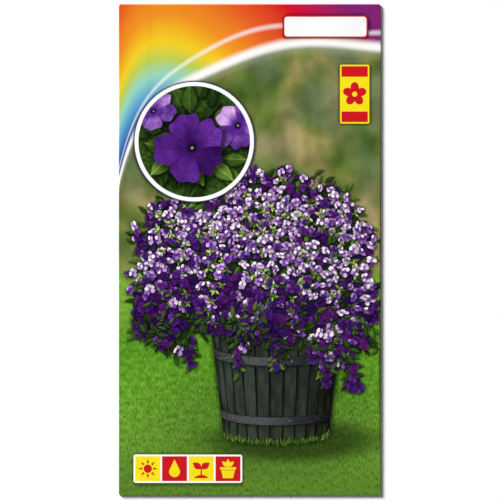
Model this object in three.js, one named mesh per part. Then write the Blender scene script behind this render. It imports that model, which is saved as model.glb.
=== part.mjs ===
// A sealed flower-seed packet lying on its back, printed front up. One sheet of coated paper is folded and
// glued into an envelope, and it holds a heat-sealed foil sachet with ten pelleted seeds.
// Millimetres. +Z points up out of the front panel, +Y to the packet's top edge, and the origin is the
// middle of the packet's back, on the surface that it lies on.
import * as THREE from "three";
import { mergeVertices } from "three/addons/utils/BufferGeometryUtils.js";

// The packet
const WIDTH = 80;
const HEIGHT = 150;
const EDGE_THICKNESS = 0.95;
const PAPER = 0.15;
const GLUE_LINE = 0.05;

// The flaps of the folded blank
const SEAM_FLAP_WIDTH = 9;
const END_FLAP_HEIGHT = 16;
const END_FLAP_TAPER = 5;
const BACK_PANEL_INSET = 0.6;

// The swelling of the front panel over the sachet
const PANEL_RISE = 1.9;
const FLAT_MARGIN = 2;

// The sachet, its seal and its seeds
const SACHET_WIDTH = 54;
const SACHET_LENGTH = 76;
const SACHET_Y = -30;
const FILM = 0.1;
const FILM_RISE = 1.4;
const SEAL_WIDTH = 5;
const SEED_COUNT = 10;
const SEED_DIAMETER = 1.2;
const SEED_SPACING = 3.1;
const SEED_LUMP = 0.03;

// Levels of the layers, from the surface upwards
const BACK_Z = PAPER + GLUE_LINE;
const SEAM_Z = BACK_Z + PAPER + GLUE_LINE;
const FRONT_Z = EDGE_THICKNESS - PAPER;
const BACK_FILM_Z = BACK_Z + PAPER + GLUE_LINE;
const FRONT_FILM_Z = BACK_FILM_Z + FILM + GLUE_LINE;
const SEED_FLOOR_GAP = 0.02;

// Steps of the curved surfaces
const FOLD_STEPS = 6;
const PANEL_STEPS_ACROSS = 20;
const PANEL_STEPS_ALONG = 32;
const FILM_STEPS_ACROSS = 14;
const FILM_STEPS_ALONG = 18;

const range = (from, to, steps) =>
  Array.from({ length: steps + 1 }, (_, i) => from + ((to - from) * i) / steps);

// 1 in the middle and 0 from t = -1 and t = 1 outwards, with no kink; a higher power has a flatter top.
const hump = (t, power) => (Math.abs(t) < 1 ? (1 - Math.abs(t) ** power) ** 2 : 0);

// How far the front panel stands above its own edges at a point.
function panelLift(x, y) {
  const across = hump(x / (WIDTH / 2 - FLAT_MARGIN), 2);
  const end = y > SACHET_Y ? HEIGHT / 2 - FLAT_MARGIN : -(HEIGHT / 2 - FLAT_MARGIN);
  return PANEL_RISE * across * hump((y - SACHET_Y) / (end - SACHET_Y), 2);
}

// How far the sachet's front film stands above its sealed rim at a point.
function filmLift(x, y) {
  const across = hump(x / (SACHET_WIDTH / 2 - SEAL_WIDTH), 4);
  return FILM_RISE * across * hump((y - SACHET_Y) / (SACHET_LENGTH / 2 - SEAL_WIDTH), 4);
}

// A closed sheet from a grid of point pairs, one point on its outer side and one behind it on its inner side.
// It fills the cells that isFilled picks. A step along i crossed with a step along j points outwards.
function sheetGeometry(grid, isFilled = () => true) {
  const columns = grid[0].length;
  const pairs = grid.flat();
  const points = [...pairs.map((pair) => pair.outer), ...pairs.map((pair) => pair.inner)];
  const outer = (i, j) => i * columns + j;
  const inner = (i, j) => pairs.length + outer(i, j);
  const inGrid = (i, j) => i >= 0 && j >= 0 && i < grid.length - 1 && j < columns - 1;
  const filled = (i, j) => inGrid(i, j) && isFilled(i, j);
  const index = [];
  const quad = (a, b, c, d) => index.push(a, b, c, a, c, d);
  const wall = (from, to) => quad(outer(...from), inner(...from), inner(...to), outer(...to));
  for (let i = 0; i < grid.length - 1; i++) {
    for (let j = 0; j < columns - 1; j++) {
      if (!filled(i, j)) continue;
      quad(outer(i, j), outer(i + 1, j), outer(i + 1, j + 1), outer(i, j + 1));
      quad(inner(i, j), inner(i, j + 1), inner(i + 1, j + 1), inner(i + 1, j));
      if (!filled(i, j - 1)) wall([i, j], [i + 1, j]);
      if (!filled(i + 1, j)) wall([i + 1, j], [i + 1, j + 1]);
      if (!filled(i, j + 1)) wall([i + 1, j + 1], [i, j + 1]);
      if (!filled(i - 1, j)) wall([i, j + 1], [i, j]);
    }
  }
  return mergeVertices(new THREE.BufferGeometry().setFromPoints(points).setIndex(index).toNonIndexed());
}

// A place on the folded sheet, seen along the fold: how far along, and the heights of its two sides.
const flatStation = (along, outerZ, innerZ) => ({ outer: [along, outerZ], inner: [along, innerZ] });

// Half a turn of the sheet at one edge of the packet, from the front panel down to a flap at height flapZ.
function foldStations(edge, side, flapZ) {
  const radius = (EDGE_THICKNESS - flapZ) / 2;
  const centre = edge - side * radius;
  const at = (r, angle) => [centre + side * r * Math.cos(angle), flapZ + radius + r * Math.sin(angle)];
  return range(Math.PI / 2, -Math.PI / 2, FOLD_STEPS).map((angle) => ({
    outer: at(radius, angle),
    inner: at(radius - PAPER, angle),
  }));
}

// The stations round the packet one way: a flap's free edge, its fold, the front panel, the other fold and the
// other flap's free edge. A flap has the height of its outer side and its reach inwards from the edge.
function stationsRound(size, nearFlap, farFlap, panelSteps) {
  const nearFold = foldStations(-size / 2, -1, nearFlap.z).reverse();
  const farFold = foldStations(size / 2, 1, farFlap.z);
  const panel = range(nearFold.at(-1).outer[0], farFold[0].outer[0], panelSteps).slice(1, -1);
  return [
    flatStation(-size / 2 + nearFlap.reach, nearFlap.z, nearFlap.z + PAPER),
    ...nearFold,
    ...panel.map((place) => flatStation(place, EDGE_THICKNESS, FRONT_Z)),
    ...farFold,
    flatStation(size / 2 - farFlap.reach, farFlap.z, farFlap.z + PAPER),
  ];
}

// The envelope is a cross of one sheet. The strip across it is the side glue flap, the front panel and the back
// panel, and the strip along it is the two end flaps with the front panel between them.
function envelopeGeometry() {
  const seamFlap = { z: SEAM_Z, reach: SEAM_FLAP_WIDTH };
  const backPanel = { z: BACK_Z, reach: WIDTH - BACK_PANEL_INSET };
  const endFlap = { z: 0, reach: END_FLAP_HEIGHT };
  const across = stationsRound(WIDTH, seamFlap, backPanel, PANEL_STEPS_ACROSS);
  const along = stationsRound(HEIGHT, endFlap, endFlap, PANEL_STEPS_ALONG);

  const panelStart = FOLD_STEPS + 1;
  const onPanel = (i, steps) => i >= panelStart && i <= panelStart + steps;
  const isFilled = (i, j) =>
    onPanel(i, PANEL_STEPS_ACROSS - 1) || onPanel(j, PANEL_STEPS_ALONG - 1);

  const pointAt = (i, j, side) => {
    const [x, sideZ] = across[i][side];
    const [y, endZ] = along[j][side];
    if (!onPanel(i, PANEL_STEPS_ACROSS)) return new THREE.Vector3(x, y, sideZ);
    if (onPanel(j, PANEL_STEPS_ALONG)) return new THREE.Vector3(x, y, endZ + panelLift(x, y));
    const isFreeEdge = j === 0 || j === along.length - 1;
    return new THREE.Vector3(isFreeEdge ? x * (1 - (2 * END_FLAP_TAPER) / WIDTH) : x, y, endZ);
  };
  const grid = across.map((_, i) =>
    along.map((__, j) => ({ outer: pointAt(i, j, "outer"), inner: pointAt(i, j, "inner") })),
  );
  return sheetGeometry(grid, isFilled);
}

// One film of the sachet, from its underside's height at a point.
function filmGeometry(stepsAcross, stepsAlong, undersideAt) {
  const rows = range(-SACHET_WIDTH / 2, SACHET_WIDTH / 2, stepsAcross).map((x) =>
    range(SACHET_Y - SACHET_LENGTH / 2, SACHET_Y + SACHET_LENGTH / 2, stepsAlong).map((y) => {
      const z = undersideAt(x, y);
      return { outer: new THREE.Vector3(x, y, z + FILM), inner: new THREE.Vector3(x, y, z) };
    }),
  );
  return sheetGeometry(rows);
}

// A seed in its round clay coat, slightly lumpy.
function seedGeometry(number) {
  const geometry = new THREE.IcosahedronGeometry(SEED_DIAMETER / 2 / (1 + SEED_LUMP), 1);
  geometry.deleteAttribute("normal");
  geometry.deleteAttribute("uv");
  const seed = mergeVertices(geometry);
  const position = seed.attributes.position;
  const point = new THREE.Vector3();
  for (let i = 0; i < position.count; i++) {
    point.fromBufferAttribute(position, i);
    const wave = Math.sin(7 * point.x + number) * Math.cos(6 * point.y - number);
    point.multiplyScalar(1 + SEED_LUMP * wave);
    position.setXYZ(i, point.x, point.y, point.z);
  }
  return seed;
}

const printedPaper = new THREE.MeshStandardMaterial({ color: 0x6b7f45, roughness: 0.35 });
const foilFilm = new THREE.MeshStandardMaterial({ color: 0xc9ccd0, roughness: 0.3, metalness: 0.9 });
const seedCoat = new THREE.MeshStandardMaterial({ color: 0xc9a36a, roughness: 0.85 });

const packet = new THREE.Group();
function addPiece(name, geometry, material) {
  const mesh = new THREE.Mesh(geometry, material);
  mesh.name = name;
  packet.add(mesh);
  return mesh;
}

addPiece("envelope", envelopeGeometry(), printedPaper);
addPiece("sachet_back_film", filmGeometry(1, 1, () => BACK_FILM_Z), foilFilm);
addPiece(
  "sachet_front_film",
  filmGeometry(FILM_STEPS_ACROSS, FILM_STEPS_ALONG, (x, y) => FRONT_FILM_Z + filmLift(x, y)),
  foilFilm,
);

// The loose seeds lie scattered in a golden-angle spiral on the back film.
const GOLDEN_ANGLE = Math.PI * (3 - Math.sqrt(5));
for (let i = 0; i < SEED_COUNT; i++) {
  const seed = addPiece(`seed_${String(i + 1).padStart(2, "0")}`, seedGeometry(i), seedCoat);
  const reach = SEED_SPACING * Math.sqrt(i + 0.5);
  const height = BACK_FILM_Z + FILM + SEED_FLOOR_GAP + SEED_DIAMETER / 2;
  seed.position.set(reach * Math.cos(i * GOLDEN_ANGLE), SACHET_Y + reach * Math.sin(i * GOLDEN_ANGLE), height);
}

export default packet;
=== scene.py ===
"""A sealed flower seed packet on its back: a printed, folded and glued sheet of paper round a foil sachet.

The paper is made as the real one is. A flat blank is printed, so its triangles follow the outlines of the
printed motifs, and then it is folded into an envelope. Places on the blank are in millimetres from the
middle of the front panel, s to the right and t to the top. Blender's own places are in metres.
"""

import math
import random
from functools import partialmethod

import bpy
import numpy as np
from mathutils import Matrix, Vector
from mathutils.geometry import delaunay_2d_cdt


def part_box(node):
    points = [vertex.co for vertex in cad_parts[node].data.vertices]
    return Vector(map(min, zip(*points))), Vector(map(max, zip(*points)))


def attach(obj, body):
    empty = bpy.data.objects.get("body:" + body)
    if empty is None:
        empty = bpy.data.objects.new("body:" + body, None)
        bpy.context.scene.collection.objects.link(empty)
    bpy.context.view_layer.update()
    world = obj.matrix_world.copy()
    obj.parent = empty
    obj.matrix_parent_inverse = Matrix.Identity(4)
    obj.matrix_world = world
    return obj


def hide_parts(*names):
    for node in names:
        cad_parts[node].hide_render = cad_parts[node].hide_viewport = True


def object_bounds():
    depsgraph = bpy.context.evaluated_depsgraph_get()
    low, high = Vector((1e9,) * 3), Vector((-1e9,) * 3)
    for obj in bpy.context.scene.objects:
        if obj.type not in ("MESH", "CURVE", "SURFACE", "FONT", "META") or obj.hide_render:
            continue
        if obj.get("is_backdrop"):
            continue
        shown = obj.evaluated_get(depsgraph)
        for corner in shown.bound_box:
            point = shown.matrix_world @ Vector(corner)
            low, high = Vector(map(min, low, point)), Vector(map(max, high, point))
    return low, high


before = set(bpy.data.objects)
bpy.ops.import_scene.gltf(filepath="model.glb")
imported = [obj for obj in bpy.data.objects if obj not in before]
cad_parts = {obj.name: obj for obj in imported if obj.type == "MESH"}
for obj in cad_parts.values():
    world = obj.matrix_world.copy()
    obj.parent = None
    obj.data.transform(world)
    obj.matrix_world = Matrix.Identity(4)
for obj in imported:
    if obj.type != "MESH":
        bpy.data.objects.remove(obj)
cad_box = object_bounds()

MM = 0.001

# The packet, in millimetres
envelope_low, envelope_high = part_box("envelope")
WIDTH = (envelope_high[0] - envelope_low[0]) / MM
HEIGHT = (envelope_high[1] - envelope_low[1]) / MM
EDGE_THICKNESS = 0.95
PAPER = 0.15
GLUE_LINE = 0.05
BACK_Z = PAPER + GLUE_LINE
SEAM_Z = 2 * BACK_Z
SEAM_FLAP_WIDTH = 9
END_FLAP_HEIGHT = 16
END_FLAP_TAPER = 5
BACK_PANEL_INSET = 0.6

# The swelling of the front panel over the sachet
PANEL_RISE = (envelope_high[2] - envelope_low[2]) / MM - EDGE_THICKNESS
FLAT_MARGIN = 2
sachet_low, sachet_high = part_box("sachet_front_film")
SACHET_X = sachet_high[0] / MM
SACHET_Y = (sachet_low[1] + sachet_high[1]) / 2 / MM
SACHET_HALF_LENGTH = (sachet_high[1] - sachet_low[1]) / 2 / MM

# The slight unevenness of the front panel: the height of each
SACHET_PRINT_THROUGH = 0.07
SEAM_PRINT_THROUGH = 0.05
COCKLE = 0.05
CORNER_DENT = 0.12

# Steps of the paper's mesh
FRONT_STEP = 1.4
BACK_STEP = 3.0
SHADOW_STEP = 1.0
SHADOW_RINGS = (0.45, 1.05)
FOLD_STEPS = 8
LEAST_STEP = 5e-4
SLOPE_STEP = 0.05


# Folding


def fold(place, size, near_z, far_z):
    """Folds places along the blank: their coordinate, height and the outer side's two-part direction.

    size is the packet's size this way. A flap's outer side lies at near_z below 0 and at far_z above it.
    """
    side = np.sign(place)
    flap_z = np.where(place < 0, near_z, far_z)
    radius = (EDGE_THICKNESS - flap_z) / 2
    start = size / 2 - radius
    turn = np.clip((np.abs(place) - start) / radius, 0, np.pi)
    past = np.maximum(np.abs(place) - start - np.pi * radius, 0)
    along = side * (np.minimum(np.abs(place), start) + radius * np.sin(turn) - past)
    height = flap_z + radius * (1 + np.cos(turn))
    return along, height, side * np.sin(turn), np.cos(turn)


def fold_places(size, flap_z):
    """The distances from the middle of the blank at which one fold's lines lie, first to last."""
    radius = (EDGE_THICKNESS - flap_z) / 2
    start = size / 2 - radius
    return np.linspace(start, start + np.pi * radius, FOLD_STEPS + 1)


def flap_end(size, flap_z, overlap):
    """How far from the blank's middle a flap ends that reaches back by overlap from the packet's edge."""
    lines = fold_places(size, flap_z)
    return lines[-1] + lines[0] - (size / 2 - overlap)


LEFT_FOLD = -fold_places(WIDTH, SEAM_Z)
RIGHT_FOLD = fold_places(WIDTH, BACK_Z)
END_FOLD = fold_places(HEIGHT, 0)
LEFT_END = -flap_end(WIDTH, SEAM_Z, SEAM_FLAP_WIDTH)
RIGHT_END = flap_end(WIDTH, BACK_Z, WIDTH - BACK_PANEL_INSET)
FLAP_END = flap_end(HEIGHT, 0, END_FLAP_HEIGHT)


def hump(places, power):
    """1 in the middle and 0 from -1 and 1 outwards, with no kink; a higher power has a flatter top."""
    return (1 - np.minimum(np.abs(places), 1) ** power) ** 2


def smooth_step(values, low, high):
    """0 at low, 1 at high and smooth between them, whichever of the two is the greater."""
    share = np.clip((values - low) / (high - low), 0, 1)
    return share * share * (3 - 2 * share)


def panel_lift(x, y):
    """How far the front panel stands above its own edges."""
    reach_x = WIDTH / 2 - FLAT_MARGIN
    reach_y = HEIGHT / 2 - FLAT_MARGIN - np.where(y > SACHET_Y, SACHET_Y, -SACHET_Y)
    lift = PANEL_RISE * hump(x / reach_x, 2) * hump((y - SACHET_Y) / reach_y, 2)

    inside_sachet = np.minimum(SACHET_X - np.abs(x), SACHET_HALF_LENGTH - np.abs(y - SACHET_Y))
    lift += SACHET_PRINT_THROUGH * smooth_step(inside_sachet, -1.2, 0.6)
    past_seam = x + WIDTH / 2 - SEAM_FLAP_WIDTH
    lift += SEAM_PRINT_THROUGH * smooth_step(past_seam, 0.7, -0.5)
    lift += COCKLE * np.sin(0.17 * x + 0.09 * y + 1.0) * np.sin(0.11 * y - 0.05 * x)
    lift += COCKLE * 0.6 * np.sin(0.29 * x - 0.21 * y + 2.0)
    for side_x, side_y in ((-1, -1), (-1, 1), (1, -1), (1, 1)):
        from_x = WIDTH / 2 - side_x * x
        from_y = HEIGHT / 2 - side_y * y
        crease = np.exp(-(((from_x - 0.8 * from_y) / 1.1) ** 2)) * smooth_step(from_x + from_y, 22, 5)
        lift -= CORNER_DENT * crease

    edge = np.minimum(WIDTH / 2 - np.abs(x), HEIGHT / 2 - np.abs(y))
    return lift * smooth_step(edge, FLAT_MARGIN / 4, 2.5 * FLAT_MARGIN)


def folded(blank):
    """The folded blank's outer and inner sides, in millimetres, and the way that the outer one faces."""
    s, t = blank.T
    x, side_z, side_x, side_up = fold(s, WIDTH, SEAM_Z, BACK_Z)
    y, end_z, end_y, end_up = fold(t, HEIGHT, 0, 0)
    on_end = np.abs(t) > END_FOLD[0]
    zero = np.zeros(len(s))
    outer = np.stack([x, t, side_z], axis=1)
    outer[on_end] = np.stack([s, y, end_z], axis=1)[on_end]
    way = np.stack([side_x, zero, side_up], axis=1)
    way[on_end] = np.stack([zero, end_y, end_up], axis=1)[on_end]
    inner = outer - PAPER * way

    on_panel = (s > LEFT_FOLD[0]) & (s < RIGHT_FOLD[0]) & ~on_end
    lift = np.where(on_panel, panel_lift(s, t), 0)
    outer[:, 2] += lift
    inner[:, 2] += lift
    slopes = [
        (panel_lift(s + step_s, t + step_t) - panel_lift(s - step_s, t - step_t)) / (2 * SLOPE_STEP)
        for step_s, step_t in ((SLOPE_STEP, 0), (0, SLOPE_STEP))
    ]
    way[on_panel] -= np.stack([*slopes, zero], axis=1)[on_panel]
    return outer, inner, way / np.linalg.norm(way, axis=1)[:, None]


# Printed motifs. A soft shadow is shifted away from the sun by a share of its reach

SUN_WAY = (-0.45, 0.89)
SHADOW_SHIFT = 0.35
PETALS = 5
PETAL_NOTCH = 0.32
PETAL_CURL = 0.2
PETAL_RUFFLE = 0.035
UPRIGHT = ((1, 0), (0, 1))


def rgb(red, green, blue):
    """A colour of 0 to 255 a channel as Blender's linear one."""
    parts = (part / 255 for part in (red, green, blue))
    return tuple(part / 12.92 if part <= 0.04045 else ((part + 0.055) / 1.055) ** 2.4 for part in parts)


class Motif:
    """A printed shape. Its outline is in its own units, and centre and matrix place it on the blank.

    Its ink reads three values: a flat ink's colour, or else a tone, a random number, and how much light a
    leaf gets or how unevenly a bloom is lit. It casts a soft shadow of the given reach on the motifs under
    it, and it shows only within another motif, if one is given.
    """

    def __init__(
        self, ink, outline, centre=(0, 0), matrix=UPRIGHT, values=(0, 0, 0), casts=0, within=None
    ):
        self.ink = ink
        self.centre = np.array(centre, dtype=float)
        self.matrix = np.array(matrix, dtype=float)
        self.outline = np.array(outline, dtype=float) @ self.matrix.T + self.centre
        self.values = values
        self.casts = casts
        self.within = within


def flat(outline, colour, casts=0):
    """A motif of one colour, of 0 to 255 a channel."""
    return Motif(flat_ink, outline, values=rgb(*colour), casts=casts)


def turned(angle, wide, high):
    """The matrix that scales by wide and high and then turns anticlockwise by an angle."""
    cos, sin = math.cos(angle), math.sin(angle)
    return ((wide * cos, -high * sin), (wide * sin, high * cos))


def polar(x, y, angle, reach):
    """The place at an angle and a distance from another."""
    return (x + reach * math.cos(angle), y + reach * math.sin(angle))


def circle(x, y, radius, count):
    """A circle's outline as so many places."""
    return [polar(x, y, 2 * math.pi * k / count, radius) for k in range(count)]


def rectangle(x0, y0, x1, y1, radius=0):
    """A rectangle's outline, with rounded corners if it has a radius."""
    if not radius:
        return [(x0, y0), (x1, y0), (x1, y1), (x0, y1)]
    left, low, right, high = x0 + radius, y0 + radius, x1 - radius, y1 - radius
    corners = ((right, high, 0), (left, high, 1), (left, low, 2), (right, low, 3))
    turns = np.linspace(0, 1, 7)
    return [polar(x, y, (k + turn) * math.pi / 2, radius) for x, y, k in corners for turn in turns]


def bloom(centre, radius, rng, tone, casts, steps=5, squash=None, within=None, uneven=None):
    """One five-petalled bloom, with steps places along each petal's edge.

    squash is how far it is tilted away, and uneven how differently its petals are lit. Each is random unless
    it is given.
    """
    seed = rng.random()
    turn = np.arange(PETALS * steps) / (PETALS * steps) + seed / PETALS
    lobe = np.sin(np.pi * ((PETALS * turn - seed) % 1))
    curl = 0.5 + 0.5 * np.sin(1.9 * (np.arange(PETALS * steps) // steps) + 31 * seed)
    ruffle = np.sin(2 * np.pi * 13 * turn + 50 * seed)
    rim = 1 - PETAL_NOTCH * (1 - lobe) ** 1.7 - PETAL_CURL * curl * lobe + PETAL_RUFFLE * ruffle
    outline = np.stack([rim * np.cos(2 * np.pi * turn), rim * np.sin(2 * np.pi * turn)], axis=1)
    tilt = np.array(turned(rng.uniform(0, math.pi), 1, 1))
    squash = rng.uniform(0.5, 1) if squash is None else squash
    matrix = radius * tilt @ np.diag([squash, 1]) @ tilt.T
    uneven = rng.random() if uneven is None else uneven
    return Motif(bloom_ink, outline, centre, matrix, (tone, seed, uneven), casts, within)


LEAF_HALF = [(0.0, 0.06), (0.12, 0.5), (0.3, 0.92), (0.48, 1.0), (0.66, 0.8), (0.84, 0.42), (1.0, 0.0)]
LEAF_OUTLINE = [(u, -v) for u, v in LEAF_HALF] + [(u, v) for u, v in reversed(LEAF_HALF[:-1])]


def leaf(base, angle, length, width, rng, tone, casts, within=None):
    """A pointed oval leaf from its base outwards. Its own first axis runs along the midrib."""
    matrix = turned(angle, length, width / 2)
    light = SUN_WAY[0] * -math.sin(angle) + SUN_WAY[1] * math.cos(angle)
    values = (tone, rng.random(), 0.5 + light / 2)
    return Motif(leaf_ink, LEAF_OUTLINE, base, matrix, values, casts, within)


def ribbon(points, width):
    """The outline of a line of a given width, narrowing to its last point."""
    points = np.array(points, dtype=float)
    ways = np.gradient(points, axis=0)
    ways /= np.linalg.norm(ways, axis=1)[:, None]
    half = width / 2 * np.linspace(1, 0.35, len(points))[:, None]
    normals = np.stack([-ways[:, 1], ways[:, 0]], axis=1)
    return np.concatenate([points - half * normals, (points + half * normals)[::-1]])


def scatter(count, box, fits, spacing, rng):
    """Up to count random places that fit in a box, at least spacing apart."""
    (left, low), (right, high) = box
    chosen = np.empty((0, 2))
    for _ in range(count * 12):
        place = np.array([rng.uniform(left, right), rng.uniform(low, high)])
        if not fits(*place):
            continue
        if len(chosen) and np.min(np.sum((chosen - place) ** 2, axis=1)) < spacing**2:
            continue
        chosen = np.vstack([chosen, place])
        if len(chosen) == count:
            break
    return chosen


# The front's layout: heights, places and sizes in millimetres on the blank, and angles in radians

HORIZON = -7.0

# The header's lower edge: its heights at both sides, its wave and its fall at the left
HEADER_LEFT = 52.5
HEADER_RIGHT = 63.5
HEADER_WAVE = 3.2
HEADER_WAVE_RATE = 0.078
HEADER_WAVE_START = 0.6
HEADER_FALL = 30.0
HEADER_FALL_WIDTH = 7.0

# The planter, whose depth shows as height by the share of PLANTER_VIEW
PLANTER_X = 8.0
PLANTER_TOP = -23.0
PLANTER_BASE = -56.0
PLANTER_TOP_HALF = 20.0
PLANTER_BASE_HALF = 16.0
PLANTER_VIEW = 0.17
PLANTER_REACH = math.radians(86)
STAVES = 13
STAVE_GAP = 0.011
HOOPS = ((PLANTER_BASE + 5.5, 2.4), (PLANTER_TOP - 9.0, 2.6))
RIVET_ANGLES = (-0.9, 0.25)

# The inset, the label, the pictograms and the badge
INSET = (-17.0, 33.0)
INSET_RADIUS = 17.0
LABEL = (10.0, 64.6, 36.0, 71.6)
LABEL_FRAME = 0.5
PICTOGRAMS = (-35.5, -71.0)
PICTOGRAM_SIZE = 7.6
PICTOGRAM_GAP = 0.55
BADGE = (27.4, 38.5)
BADGE_SIZE = (9, 18)
BADGE_FRAME = 0.5
BADGE_BAR = 3.2

# The ovals that make up the mass of flowers: the middle and half the size of each
MASS = (
    ((1.5, 1.0), (36.5, 24.0)),
    ((-25.0, -14.0), (11.0, 17.0)),
    ((27.5, -15.0), (11.0, 21.0)),
    ((6.0, -19.0), (23.0, 10.0)),
)
MASS_BOX = ((-WIDTH / 2, -40), (WIDTH / 2, 30))

# Colours, of 0 to 255 a channel
WHITE = (250, 250, 250)
YELLOW = (248, 226, 30)
RED = (206, 24, 34)
GREEN = (62, 110, 40)


def planter_point(angle, y):
    """A place on the planter's front, at an angle from its middle line and a height on that line's axis."""
    share = (y - PLANTER_BASE) / (PLANTER_TOP - PLANTER_BASE)
    half = PLANTER_BASE_HALF + (PLANTER_TOP_HALF - PLANTER_BASE_HALF) * share
    return (PLANTER_X + half * math.sin(angle), y - PLANTER_VIEW * half * math.cos(angle))


def planter_hoop(low, high):
    """The outline of a band round the planter's front, between two heights."""
    angles = [PLANTER_REACH * (i / 12 - 1) for i in range(25)]
    lower = [planter_point(angle, low) for angle in angles]
    return lower + [planter_point(angle, high) for angle in reversed(angles)]


def planter():
    """A half barrel of upright staves with two iron hoops."""
    rng = random.Random(11)
    yield flat(planter_hoop(PLANTER_BASE, PLANTER_TOP), (14, 15, 12), 1.2)
    stave_width = 2 * PLANTER_REACH / STAVES
    for k in range(STAVES):
        left = -PLANTER_REACH + stave_width * k + STAVE_GAP
        right = -PLANTER_REACH + stave_width * (k + 1) - STAVE_GAP
        middle = (left + right) / 2
        outline = [planter_point(angle, PLANTER_BASE) for angle in (left, middle, right)]
        outline += [planter_point(angle, PLANTER_TOP) for angle in (right, middle, left)]
        tone = 0.04 + 0.5 * max(0, math.cos(middle + 0.55)) + rng.uniform(-0.08, 0.08)
        yield Motif(wood_ink, outline, values=(tone, rng.random(), 0))

    for y, width in HOOPS:
        yield Motif(iron_ink, planter_hoop(y, y + width), casts=0.5)
        for angle in RIVET_ANGLES:
            rivet = circle(*planter_point(angle, y + width / 2), 0.42, 12)
            yield flat(rivet, (92, 96, 98), 0.3)


def grass_at_foot():
    """Blades of grass that stand up against the planter's foot."""
    rng = random.Random(31)
    for _ in range(170):
        x, y = planter_point(math.radians(rng.uniform(-82, 82)), PLANTER_BASE)
        base = (x, y - rng.uniform(0.2, 1.2))
        angle = math.pi / 2 + rng.gauss(0, 0.25)
        yield leaf(base, angle, rng.uniform(1.1, 2.4), 0.36, rng, rng.uniform(0.35, 0.72), 0.15)


def in_mass(x, y, grow=0.0):
    """Whether a place is within the mass of flowers, made bigger all round by grow."""
    ragged = 1.3 * math.sin(0.55 * x + 0.35 * y) + 0.9 * math.sin(0.9 * y - 0.7 * x + 1)

    def in_oval(middle, half):
        across = (x - middle[0]) / (half[0] + grow + ragged)
        along = (y - middle[1]) / (half[1] + grow + ragged)
        return across**2 + along**2 < 1

    return any(in_oval(*oval) for oval in MASS)


def clumps(x, y):
    """Patches across the mass of flowers, from -1 to 1."""
    bent = math.sin(0.31 * x + 0.23 * y + 1.3 * math.sin(0.19 * y))
    return bent * math.cos(0.27 * y - 0.17 * x + math.sin(0.23 * x))


def sunlit(x, y):
    """How much sun a place in the mass of flowers gets, from 0 to 1."""
    return min(max(0.12 + 0.78 * smooth_step(y, -27, -3) + 0.004 * x + 0.13 * clumps(x, y), 0), 1)


def bloom_tone(lit, rng):
    """Deep violet in the shade, and anything up to nearly white in the sun."""
    pick = rng.random()
    if pick < 0.46 * lit**1.3:
        return rng.uniform(0.68, 0.92)
    if pick < 0.03 + 0.72 * lit:
        return rng.uniform(0.49, 0.72)
    return rng.uniform(0.04, 0.18 + 0.2 * lit)


def shoot(start, angle, length, rng):
    """A trailing stem from the mass: a thin bent line with leaves along it and blooms near its end."""
    points = [start]
    steps = 8
    for _ in range(steps):
        angle += (-math.pi / 2 - angle) * 0.16 + rng.uniform(-0.12, 0.12)
        points.append(polar(*points[-1], angle, length / steps))
    yield Motif(leaf_ink, ribbon(points, 0.42), values=(0.45, rng.random(), 0.5), casts=0.4)
    for k in range(2, steps + 1):
        way = angle + (1 if k % 2 else -1) * rng.uniform(0.6, 1.2)
        size = rng.uniform(2.0, 3.2)
        yield leaf(points[k], way, size, size * 0.5, rng, rng.uniform(0.2, 0.6), 0.5)
    for place in (points[-1], points[-3], points[-5]):
        if rng.random() < 0.7:
            yield bloom(place, rng.uniform(1.7, 2.3), rng, rng.uniform(0.1, 0.34), 0.7)


def leaf_layer(rng, count, spacing, grow, lengths, tones, least_clump=-1.0, sprig=1, most_sun=1.0):
    """Leaves, or sprigs of them, over the mass made bigger by grow, where it is clumped and shady enough."""

    def fits(x, y):
        return in_mass(x, y, grow) and clumps(x, y) > least_clump and sunlit(x, y) <= most_sun

    for x, y in scatter(count, MASS_BOX, fits, spacing, rng):
        out = math.atan2(y - MASS[0][0][1], x - MASS[0][0][0]) + rng.gauss(0, 1.0)
        for _ in range(sprig):
            length = rng.uniform(*lengths)
            tone = min(rng.uniform(*tones) * (0.4 + 0.6 * sunlit(x, y)), 1)
            yield leaf((x, y), out, length, length * rng.uniform(0.3, 0.5), rng, tone, 0.45)
            out += 2.4 + rng.uniform(-0.4, 0.4)


def bloom_layer(rng, count, spacing, grow, light):
    """Blooms over the mass made bigger by grow, most of them in the sun. light is their share of it."""

    def fits(x, y):
        return in_mass(x, y, grow) and rng.random() < 0.3 + 1.6 * sunlit(x, y)

    for x, y in scatter(count, MASS_BOX, fits, spacing, rng):
        lit = sunlit(x, y) * light
        radius = rng.uniform(1.2, 1.85) + 0.75 * (1 - sunlit(x, y)) ** 1.5
        yield bloom((x, y), radius, rng, bloom_tone(lit, rng), 0.75)


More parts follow.
